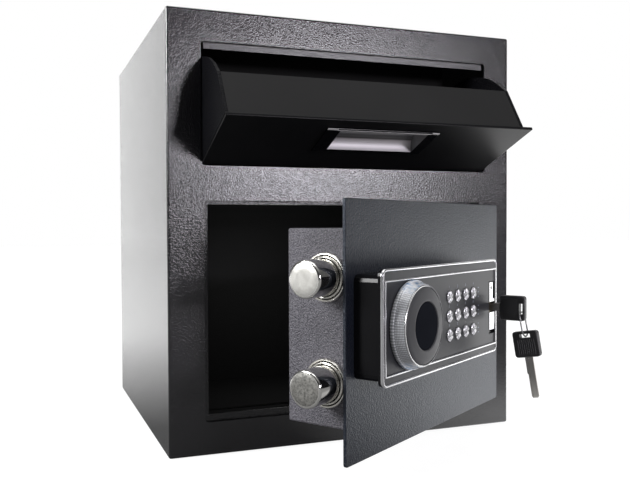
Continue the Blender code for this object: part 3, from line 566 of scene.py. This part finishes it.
add_loops(bm, frame_loops((PANEL_X[0] + 1.2, PANEL_X[1] - 1.2), (PANEL_Z[0] + 1.2, PANEL_Z[1] - 1.2), 4.4, 0.9,
                          [(0, -26.4), (0, -27.3), (1, -27.3), (1, -26.4)]), closed=True)
piece("keypad_trim_seat", bm, ["dark"], "door")

# buttons: eight-lobed silver caps
COLS, ROWS, KEY_R = (-25.8, -7.9, 10.1, 28.1), (165.5, 147.6, 129.7), 5.8
for r, z in enumerate(ROWS):
    for c, x in enumerate(COLS):
        bm = bmesh.new()
        steps = 32
        loops = []
        for share, high, cut in ((0.04, -30.2, 0.0), (0.34, -30.1, 0.5), (0.66, -30.0, 1.5), (0.90, -29.5, 1.4),
                                 (1.0, -28.9, 0.4), (1.0, -25.6, 0.0), (1.2, -25.6, 0.0), (1.2, -24.4, 0.0),
                                 (0.05, -24.4, 0.0)):
            ring = []
            for k in range(steps):
                a = 2 * math.pi * (k + 0.5) / steps
                dip = cut * (0.5 + 0.5 * math.cos(6 * a)) ** 2
                ring.append((x + KEY_R * share * math.cos(a), high + dip, z + KEY_R * share * math.sin(a)))
            loops.append(ring)
        add_loops(bm, loops, caps=True)
        name = "button_%d%d" % (r + 1, c + 1)
        piece(name + "_cap", bm, ["button"], "door", [name], body=name + "_body", sharp=16)


def digits(name, marks, paint="print"):
    """Raised print: (text, x, z, height) on the keypad's face, as one mesh."""
    bm = bmesh.new()
    for text, x, z, size in marks:
        curve = bpy.data.curves.new("mark", "FONT")
        curve.body = text
        curve.size = size
        curve.align_x, curve.align_y = "CENTER", "CENTER"
        curve.resolution_u = 3
        made = bpy.data.objects.new("mark", curve)
        bpy.context.scene.collection.objects.link(made)
        graph = bpy.context.evaluated_depsgraph_get()
        mesh = bpy.data.meshes.new_from_object(made.evaluated_get(graph))
        before = set(bm.verts)
        bm.from_mesh(mesh)
        for vert in set(bm.verts) - before:
            vert.co = Vector((x + vert.co.x, -28.06, z + vert.co.y))
        bpy.data.objects.remove(made, do_unlink=True)
        bpy.data.meshes.remove(mesh)
        bpy.data.curves.remove(curve)
    piece(name, bm, [paint], "door", smooth=False)


digits("keypad_print", [(t, x, z + 9.0, 3.6) for z, row in zip(ROWS, (("1", "2", "3", "4"), ("5", "6", "7", "8"),
                                                                       ("9", "0", "-", "+")))
                        for t, x in zip(row, COLS)])
bm = bmesh.new()
for z in ROWS:
    for k in (-1, 0, 1):
        add_box(bm, (39.5, 42.0), (-28.15, -27.9), (z + 4.4 * k - 0.4, z + 4.4 * k + 0.4), 0.08, 1)
piece("keypad_ticks", bm, ["print"], "door")

# knob
SX, SZ = SPINDLE
bm = bmesh.new()


def knurl(k, along, radius):
    return 0.22 * math.cos(math.pi * k) if radius > 37.5 else 0.0


add_turned(bm, [(-28.4, 5.0), (-28.4, 37.4), (-28.7, 37.8), (-29.1, 38.0), (-29.8, 38.1), (-30.5, 38.1), (-31.2, 38.1),
                (-31.8, 38.0), (-32.2, 37.6), (-32.5, 37.3), (-34.4, 36.7), (-36.4, 36.1), (-38.4, 35.5), (-40.3, 34.9),
                (-40.5, 34.4), (-40.5, 33.1), (-36.5, 33.1), (-36.5, 5.0)],
           "Y", (SX, SZ), 240, closed=True, wave=knurl,
           paints=[1, 1, 1, 1, 1, 1, 1, 1, 1, 0, 0, 0, 0, 0, 0, 0, 0, 0])
piece("knob_grip_shape", bm, ["clear", "clear_skirt"], "knob", ["knob_grip"], sharp=50)
bm = bmesh.new()
add_turned(bm, [(-40.5, 33.1), (-40.5, 34.5), (-40.8, 34.7), (-41.1, 34.6), (-41.3, 34.1), (-41.3, 33.5), (-41.1, 33.1)],
           "Y", (SX, SZ), 160, closed=True)
piece("knob_chrome_ring", bm, ["knob_ring"], "knob", sharp=60)
bm = bmesh.new()
add_turned(bm, [(-36.9, 5.0), (-36.9, 32.7), (-41.0, 32.7), (-41.5, 32.4), (-41.9, 31.6), (-42.3, 29.0), (-42.8, 25.5),
                (-43.2, 22.4), (-43.3, 21.4), (-43.1, 20.9), (-42.6, 20.6), (-39.2, 20.6), (-39.2, 5.0)],
           "Y", (SX, SZ), 160, closed=True)
piece("knob_face_shape", bm, ["knob_face"], "knob", ["knob_face"], sharp=40)
bm = bmesh.new()
add_turned(bm, [(-39.5, 0.0), (-39.5, 20.3), (-42.5, 20.3), (-42.9, 19.9), (-43.0, 19.3), (-42.9, 12.0), (-42.8, 0.0)],
           "Y", (SX, SZ), 128)
piece("knob_cap_shape", bm, ["cap"], "knob", ["knob_cap"], sharp=40)

# keys: raised panel and ribs on the heads, milled blades
bm = bmesh.new()
for side in (-1, 1):
    x = sorted((KX + side * 3.2, KX + side * 3.75))
    add_box(bm, x, (-56.2, -39.8), (KZ - 9.6, KZ + 9.6), 0.35, 2)
piece("key_1_head_panel", bm, ["key_head"], "key_1")
FX, FD, FZ = FOOT
SLOT2_TOP = FZ + 2.6
HEAD2_LOW, HEAD2_HIGH = SLOT2_TOP + 2.9 - 26.5, SLOT2_TOP + 2.9
bm = bmesh.new()
for side in (-1, 1):
    x = sorted((FX + side * 3.2, FX + side * 3.6))
    for k in range(-4, 5):
        add_box(bm, x, (FD + 2.1 * k - 0.55, FD + 2.1 * k + 0.55), (HEAD2_LOW + 2.6, HEAD2_HIGH - 8.4), 0.2, 1)
piece("key_2_head_ribs", bm, ["key_head"], "key_2")


def blade(name, x, d, tip, root, axis, group, node, step):
    """A flat blade with a milled groove on each face and one cut edge.  It runs from root to tip along Z or Y."""
    bm = bmesh.new()
    w, t = 4.1, 1.0

    def section(wide_low, wide_high, thick):
        return [(-thick, -wide_low), (thick, -wide_low), (thick, -1.0), (thick * 0.45, -0.7), (thick * 0.45, 0.7),
                (thick, 1.0), (thick, wide_high), (-thick, wide_high), (-thick, 2.4), (-thick * 0.45, 2.1),
                (-thick * 0.45, 1.4), (-thick, 1.1)]
    span = root - tip
    loops = []
    for share, low, high, thick in ((0.0, w, w, t), (step, w, w, t), (step + 0.02, w, w - 0.9, t), (0.96, w, w - 0.9, t),
                                    (1.0, w - 1.2, w - 1.9, t * 0.6)):
        at_z = root - span * share
        ring = []
        for a, b in section(low, high, thick):
            ring.append((x + a, d + b, at_z) if axis == "Z" else (x + a, at_z, d + b))
        loops.append(ring)
    add_loops(bm, loops, caps=True)
    piece(name, bm, ["key_blade"], group, [node], sharp=25)


blade("key_2_blade_shape", FX, FD, HEAD2_LOW - 41.0, HEAD2_LOW + 0.2, "Z", "key_2", "key_2_blade", 0.40)
blade("key_1_blade_shape", KX, KZ, 4.0, -37.7, "Y", "key_1", "key_1_blade", 0.40)

# smooth oblong ring
bm = bmesh.new()
loop = [(HANG[0] + RING_HALF * math.cos(math.radians(a)), LOOP_TOP - RING_HALF + RING_HALF * math.sin(math.radians(a)))
        for a in range(0, 181, 6)]
loop += [(HANG[0] + RING_HALF * math.cos(math.radians(a)),
          LOOP_TOP - RING_LONG + RING_HALF + RING_HALF * math.sin(math.radians(a))) for a in range(180, 361, 6)]
rings = []
for k, point in enumerate(loop):
    before, after = Vector(loop[k - 1]), Vector(loop[(k + 1) % len(loop)])
    along = (after - before).normalized()
    out = Vector((along.y, -along.x))
    rings.append([(point[0] + RING_WIRE * math.cos(2 * math.pi * s / 14) * out.x,
                   HANG[1] + RING_WIRE * math.sin(2 * math.pi * s / 14),
                   point[1] + RING_WIRE * math.cos(2 * math.pi * s / 14) * out.y) for s in range(14)])
add_loops(bm, rings, closed=True)
piece("key_ring_shape", bm, ["ring"], "ring", ["key_ring"])

# pull handle: painted highlight line and tabs along its upper edge, and the silver trough
bm = bmesh.new()
add_box(bm, (-60.4, -49.4), (-1.75, -0.9), (397.9, 400.6), 0.3, 2)
add_box(bm, (53.4, 61.4), (-1.75, -0.9), (397.9, 400.6), 0.3, 2)
add_box(bm, (-49.3, 53.3), (-1.55, -0.9), (397.0, 397.9), 0.2, 2)
piece("pull_handle_painted_highlight_edge", bm, ["painted_highlight_line"], "hopper")
bm = bmesh.new()
X0, X1, Z0, Z1 = -46.0, 50.0, 358.1, 395.6
mid, half = (Z0 + Z1) / 2, (Z1 - Z0) / 2
rows = []
for k in range(25):
    a = math.pi * k / 24
    rows.append((mid - half * math.cos(a), -1.4 + 15.6 * math.sin(a)))
xs = [X0 + 0.2] + [X0 + (X1 - X0) * k / 24 for k in range(1, 24)] + [X1 - 0.2]
grid = [[bm.verts.new((x, d, z)) for z, d in rows] for x in xs]
for i in range(len(xs) - 1):
    for k in range(24):
        bm.faces.new((grid[i][k], grid[i + 1][k], grid[i + 1][k + 1], grid[i][k + 1]))
for end in (0, -1):
    cap = [bm.verts.new(v.co.copy()) for v in grid[end]]
    f = bm.faces.new(cap)
    f.material_index = 1
piece("pull_handle_trough", bm, ["scoop", "scoop_end"], "hopper", ["pull_handle_liner"])

# lock casing: cover screws and battery lid on its back
bm = bmesh.new()
for x in (-143.0, 95.5):
    for z in (71.0, 222.0):
        add_turned(bm, [(64.9, 0.0), (64.9, 4.2), (65.5, 4.2), (66.9, 3.2), (67.3, 1.6), (67.3, 0.0)], "Y", (x, z), 32)
        # painted shade: the cross slots are thin near-black marks standing in for cut slots
        add_box(bm, (x - 0.4, x + 0.4), (67.1, 67.36), (z - 2.4, z + 2.4), 0.0, 1, 1)
        add_box(bm, (x - 2.4, x + 2.4), (67.1, 67.36), (z - 0.4, z + 0.4), 0.0, 1, 1)
piece("casing_screws", bm, ["screw", "dark"], "door", sharp=40)
bm = bmesh.new()
add_box(bm, (12.0, 92.0), (65.02, 66.2), (82.0, 138.0), 0.8, 3)
add_box(bm, (42.0, 62.0), (66.0, 66.9), (132.0, 135.4), 0.5, 2)
piece("battery_lid", bm, ["gloss"], "door")

# sealing bead round the inside of the back panel
bm = bmesh.new()
add_loops(bm, frame_loops((-197.9, 197.9), (2.1, 447.9), 0.6, 2.0, [(0, 177.9), (0, 176.6), (0.3, 176.2), (1, 177.6),
                                                                  (1, 177.9)]), closed=True)
piece("back_seam_bead", bm, ["dark"], "cabinet")

# ------------------------------------------------------------------- stage
floor_mesh = bpy.data.meshes.new("floor")
bm = bmesh.new()
bmesh.ops.create_grid(bm, x_segments=4, y_segments=4, size=9.0)
bm.to_mesh(floor_mesh)
bm.free()
floor = bpy.data.objects.new("floor", floor_mesh)
bpy.context.scene.collection.objects.link(floor)
floor.location.z = -0.0005
floor_mat, tree, shader = nodes_of("pale_floor")
grain = noise(tree, coords(tree), 40.0, 2.0)
tree.links.new(ramp(tree, grain, [(0.3, (0.20, 0.20, 0.20)), (0.7, (0.22, 0.22, 0.22))]), shader.inputs["Base Color"])
shader.inputs["Roughness"].default_value = 0.9
shader.inputs["Specular IOR Level"].default_value = 0.1
shader.inputs["Emission Color"].default_value = (1.0, 1.0, 1.0, 1.0)
seen = tree.nodes.new("ShaderNodeLightPath")
split = tree.nodes.new("ShaderNodeSeparateXYZ")
tree.links.new(coords(tree), split.inputs[0])
glow = maths(tree, "MULTIPLY", scaled_range(tree, split.outputs["Y"], -0.05, 0.72), 1.35)
beside = maths(tree, "MULTIPLY", scaled_range(tree, split.outputs["X"], -0.05, 0.24),
               scaled_range(tree, split.outputs["Y"], -0.42, -0.27))
glow = maths(tree, "ADD", glow, maths(tree, "MULTIPLY", beside, 1.8))
glow = maths(tree, "ADD", glow, 0.04)
shown = tree.nodes.new("ShaderNodeMix")
tree.links.new(seen.outputs["Is Camera Ray"], shown.inputs["Factor"])
tree.links.new(glow, shown.inputs["A"])
shown.inputs["B"].default_value = 0.90
tree.links.new(shown.outputs["Result"], shader.inputs["Emission Strength"])
floor_mesh.materials.append(floor_mat)

world = bpy.data.worlds.new("studio")
bpy.context.scene.world = world
world.use_nodes = True
tree = world.node_tree
back = tree.nodes["Background"]
where = tree.nodes.new("ShaderNodeTexCoord")
split = tree.nodes.new("ShaderNodeSeparateXYZ")
tree.links.new(where.outputs["Generated"], split.inputs[0])


def lobe(socket, start, end, amount):
    node = put(tree, "ShaderNodeMapRange", clamp=True, interpolation_type="SMOOTHSTEP")
    node.inputs["From Min"].default_value = start
    node.inputs["From Max"].default_value = end
    node.inputs["To Max"].default_value = amount
    tree.links.new(socket, node.inputs["Value"])
    return node.outputs["Result"]


sky = maths(tree, "ADD", lobe(split.outputs["Y"], 0.08, 0.95, 2.05), lobe(split.outputs["X"], 0.35, 1.0, 0.06))
side = put(tree, "ShaderNodeMapRange", clamp=True)
for socket, value in (("From Min", -0.26), ("From Max", -0.12), ("To Min", 0.10), ("To Max", 1.0)):
    side.inputs[socket].default_value = value
tree.links.new(split.outputs["X"], side.inputs["Value"])
sky = maths(tree, "MULTIPLY", sky, side.outputs["Result"])
sky = maths(tree, "ADD", sky, lobe(split.outputs["Z"], 0.35, 1.0, 0.45))
sky = maths(tree, "ADD", sky, 0.04)
path = tree.nodes.new("ShaderNodeLightPath")
mix = tree.nodes.new("ShaderNodeMix")
mix.data_type = "RGBA"
tree.links.new(path.outputs["Is Camera Ray"], mix.inputs["Factor"])
combine = tree.nodes.new("ShaderNodeCombineXYZ")
for socket in combine.inputs:
    tree.links.new(sky, socket)
tree.links.new(combine.outputs[0], mix.inputs["A"])
mix.inputs["B"].default_value = (1.0, 1.0, 1.0, 1.0)
tree.links.new(mix.outputs["Result"], back.inputs["Color"])
back.inputs["Strength"].default_value = 1.0


def softbox(name, place, target, size, power, colour=(1, 1, 1)):
    light = bpy.data.lights.new(name, "AREA")
    light.shape = "RECTANGLE"
    light.size, light.size_y = size
    light.energy = power
    light.color = colour
    made = bpy.data.objects.new(name, light)
    bpy.context.scene.collection.objects.link(made)
    made.location = place
    made.rotation_euler = (Vector(target) - Vector(place)).to_track_quat("-Z", "Y").to_euler()
    return made


softbox("front_box", (0.89, -2.6, 0.64), (0.0, -0.18, 0.32), (0.58, 0.48), 25.5, (1.0, 0.965, 1.04))
softbox("top_box", (0.1, -0.6, 2.6), (0, -0.1, 0.2), (1.8, 1.2), 16)
softbox("left_fill", (-2.5, -0.40, 1.15), (-0.1, -0.34, 0.2), (0.8, 0.8), 60)

inner = bpy.data.lights.new("inner_fill", "POINT")
inner.energy = 0.09
inner.shadow_soft_size = 0.03
lamp = bpy.data.objects.new("inner_fill", inner)
bpy.context.scene.collection.objects.link(lamp)
lamp.location = (-0.02, 0.02, 0.17)
lamp.visible_camera = False

camera_data = bpy.data.cameras.new("camera")
camera_data.sensor_width = 36.0
camera_data.lens = 758.322 / 630 * 36
camera_data.shift_x = (315 - 302.227) / 630
camera_data.shift_y = (244.669 - 239) / 630
camera_data.clip_start = 0.01
camera = bpy.data.objects.new("camera", camera_data)
bpy.context.scene.collection.objects.link(camera)
right = Vector((0.9362249, -0.35137223, -0.00452644))
down = Vector((-0.01230114, -0.01989751, -0.99972635))
ahead = Vector((0.35118601, 0.93602438, -0.02295082))
turn = Matrix((right, -down, -ahead)).transposed()
camera.matrix_world = Matrix.Translation((-0.33862787, -0.92931907, 0.23097855)) @ turn.to_4x4()
bpy.context.scene.camera = camera
bpy.context.scene.view_settings.view_transform = "Standard"
